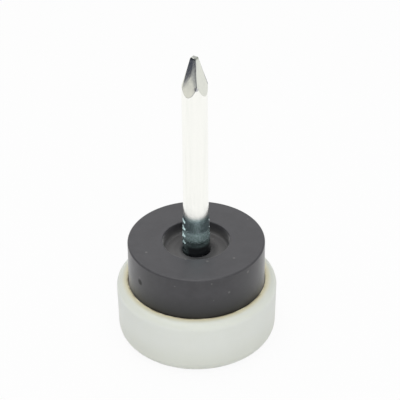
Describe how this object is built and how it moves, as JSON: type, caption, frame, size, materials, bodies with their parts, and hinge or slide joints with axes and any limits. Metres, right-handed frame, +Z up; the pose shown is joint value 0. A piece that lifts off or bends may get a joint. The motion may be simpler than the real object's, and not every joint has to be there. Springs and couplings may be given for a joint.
{
  "type": "nail-on furniture glide",
  "caption": "Nail-on furniture glide: milky nylon cup that slides on the floor, rubber cushion with a recessed seat, and a diamond-point nail that is driven into the foot of a leg.",
  "frame": {"origin": "centre of the cup's flat underside, on the floor", "axes": "+Z up along the nail towards its point, +X across the sides of the nail that carry the grip marks"},
  "size_m": [0.0222, 0.0222, 0.0431],
  "materials": {
    "nylon": "milky white translucent nylon, satin moulded surface",
    "rubber": "charcoal black moulded rubber, matt with a faint sheen",
    "zinc_plated_steel": "bright zinc plate over drawn steel wire"
  },
  "bodies": {
    "root": {"glide_base": "nylon", "rubber_cushion": "rubber", "nail": "zinc_plated_steel"}
  },
  "joints": []
}
